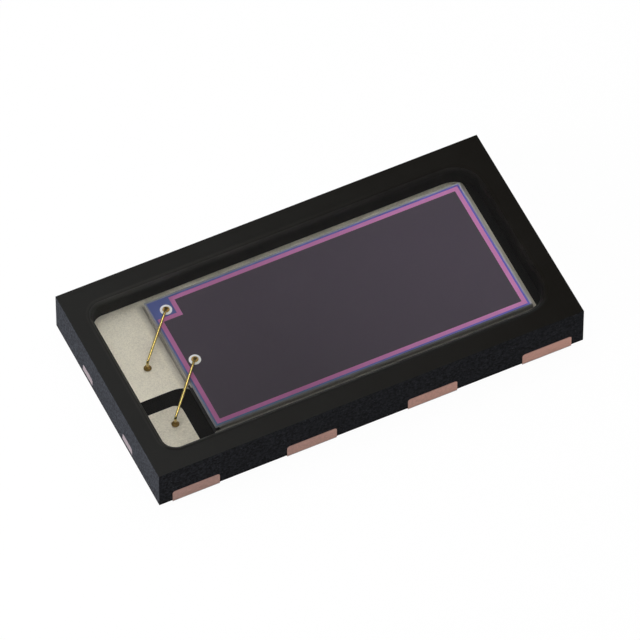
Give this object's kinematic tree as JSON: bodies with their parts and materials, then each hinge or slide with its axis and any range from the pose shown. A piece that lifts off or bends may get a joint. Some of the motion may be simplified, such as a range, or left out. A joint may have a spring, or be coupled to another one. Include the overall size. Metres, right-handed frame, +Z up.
{
  "type": "photodiode",
  "caption": "Leadless surface-mount silicon photodiode: flat black moulded frame, chip wire-bonded on a copper lead frame under clear resin, solder lands below.",
  "frame": {"origin": "middle of the body's footprint, on the soldering plane under the lands", "axes": "+X along the body from the bond-wire end to the chip's far end, +Y across the body away from the anode lead's side, +Z up to the window"},
  "size_m": [0.0048, 0.0024, 0.0005],
  "materials": {
    "mould_compound": "moulded matt black, sawn on the sides",
    "clear_resin": "clear cast",
    "copper": "sawn bare copper",
    "silver_plating": "matt silver plate",
    "tin_plating": "matt tin plate",
    "die_adhesive": "silver-filled epoxy",
    "silicon": "sawn silicon",
    "edge_oxide_film": "blue interference film",
    "guard_ring_film": "magenta interference film",
    "window_film": "dark anti-reflection film",
    "aluminium_metal": "evaporated aluminium",
    "gold": "drawn gold wire"
  },
  "bodies": {
    "root": {"mould_frame": "mould_compound", "clear_resin": "clear_resin", "die_paddle": "copper", "anode_lead": "copper", "paddle_plating": "silver_plating", "anode_plating": "silver_plating", "paddle_lands": "tin_plating", "anode_land": "tin_plating", "die_attach": "die_adhesive", "silicon_die": "silicon", "edge_oxide": "edge_oxide_film", "guard_ring": "guard_ring_film", "active_window": "window_film", "cathode_bond_pad": "aluminium_metal", "anode_bond_pad": "aluminium_metal", "cathode_bump": "gold", "anode_bump": "gold", "cathode_wire": "gold", "anode_wire": "gold"}
  },
  "joints": []
}
